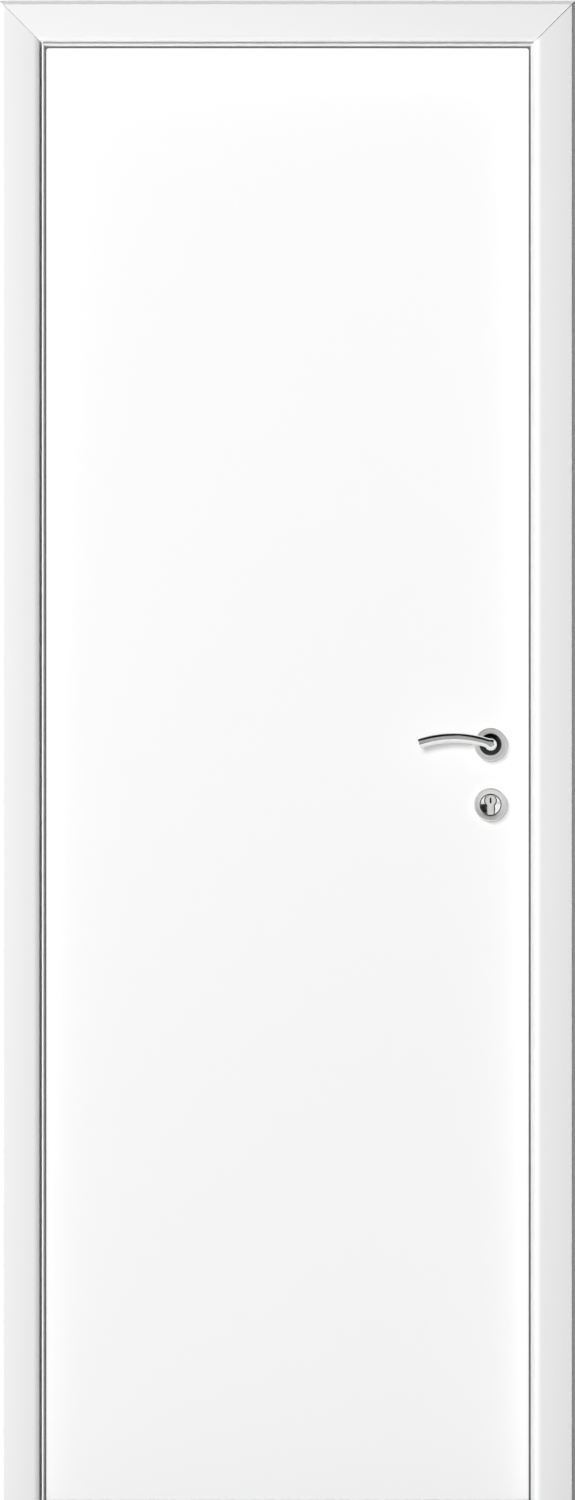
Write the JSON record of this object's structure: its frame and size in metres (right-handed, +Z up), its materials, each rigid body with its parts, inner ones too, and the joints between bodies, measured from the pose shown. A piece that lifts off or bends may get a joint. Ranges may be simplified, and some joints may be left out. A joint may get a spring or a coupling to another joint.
{
  "type": "flush interior door with lining, architraves and lever handle",
  "caption": "White flush hinged door leaf in a rebated lining with mitred architraves, gasket, arched lever handles on round roses and a keyed profile cylinder.",
  "frame": {"origin": "foot of the hinge jamb's wall face, at floor level and in the middle of the lining's depth", "axes": "+X across the doorway from the hinge jamb to the strike jamb, +Y away from the push side towards the side the leaf opens to, +Z up"},
  "size_m": [0.832, 0.1464, 2.172],
  "materials": {
    "frame_white": "satin film",
    "leaf_white": "smooth satin laminate",
    "edge_white": "satin edge band",
    "core_board": "sawn",
    "gasket_grey": "matte",
    "satin_nickel": "satin brushed",
    "bright_chrome": "polished",
    "dark_chrome": "dark polished",
    "lock_steel": "zinc plated"
  },
  "bodies": {
    "frame": {"hinge_jamb": "frame_white", "strike_jamb": "frame_white", "head_lining": "frame_white", "hinge_side_stop": "frame_white", "strike_side_stop": "frame_white", "head_stop": "frame_white", "front_architrave_hinge_side": "frame_white", "front_architrave_strike_side": "frame_white", "front_architrave_head": "frame_white", "back_architrave_hinge_side": "frame_white", "back_architrave_strike_side": "frame_white", "back_architrave_head": "frame_white", "gasket": "gasket_grey", "strike_plate": "satin_nickel", "lower_hinge_frame_half": "satin_nickel", "middle_hinge_frame_half": "satin_nickel", "upper_hinge_frame_half": "satin_nickel"},
    "leaf": {"leaf_core": "core_board", "front_skin": "leaf_white", "back_skin": "leaf_white", "edge_band_hinge_side": "edge_white", "edge_band_lock_side": "edge_white", "lower_hinge_leaf_half": "satin_nickel", "middle_hinge_leaf_half": "satin_nickel", "upper_hinge_leaf_half": "satin_nickel", "lock_case": "lock_steel", "lock_forend": "satin_nickel", "latch_bolt": "bright_chrome", "dead_bolt": "satin_nickel", "front_rose": "satin_nickel", "back_rose": "satin_nickel", "front_collar": "dark_chrome", "back_collar": "dark_chrome", "front_escutcheon": "satin_nickel", "back_escutcheon": "satin_nickel", "front_key_insert": "bright_chrome", "back_key_insert": "bright_chrome", "cylinder_body": "satin_nickel"},
    "handle": {"front_lever": "bright_chrome", "front_lever_inlay": "satin_nickel", "back_lever": "bright_chrome", "back_lever_inlay": "satin_nickel", "spindle": "lock_steel"},
    "front_plug": {"front_key_plug": "satin_nickel"},
    "back_plug": {"back_key_plug": "satin_nickel"}
  },
  "joints": [
    {"name": "leaf_swing", "type": "hinge", "parent": "frame", "child": "leaf", "pos_m": [0.0275, 0.0425, 1], "axis": [0, 0, 1], "range_deg": [0, 170]},
    {"name": "handle_turn", "type": "hinge", "parent": "leaf", "child": "handle", "pos_m": [0.6835, 0.015, 1.098], "axis": [0, -1, 0], "range_deg": [0, 40], "stiffness_Nm_per_rad": 1.5},
    {"name": "front_plug_turn", "type": "hinge", "parent": "leaf", "child": "front_plug", "pos_m": [0.6835, 0.015, 1.0171], "axis": [0, -1, 0], "continuous": true},
    {"name": "back_plug_turn", "type": "hinge", "parent": "leaf", "child": "back_plug", "pos_m": [0.6835, 0.015, 1.0171], "axis": [0, 1, 0], "continuous": true}
  ]
}
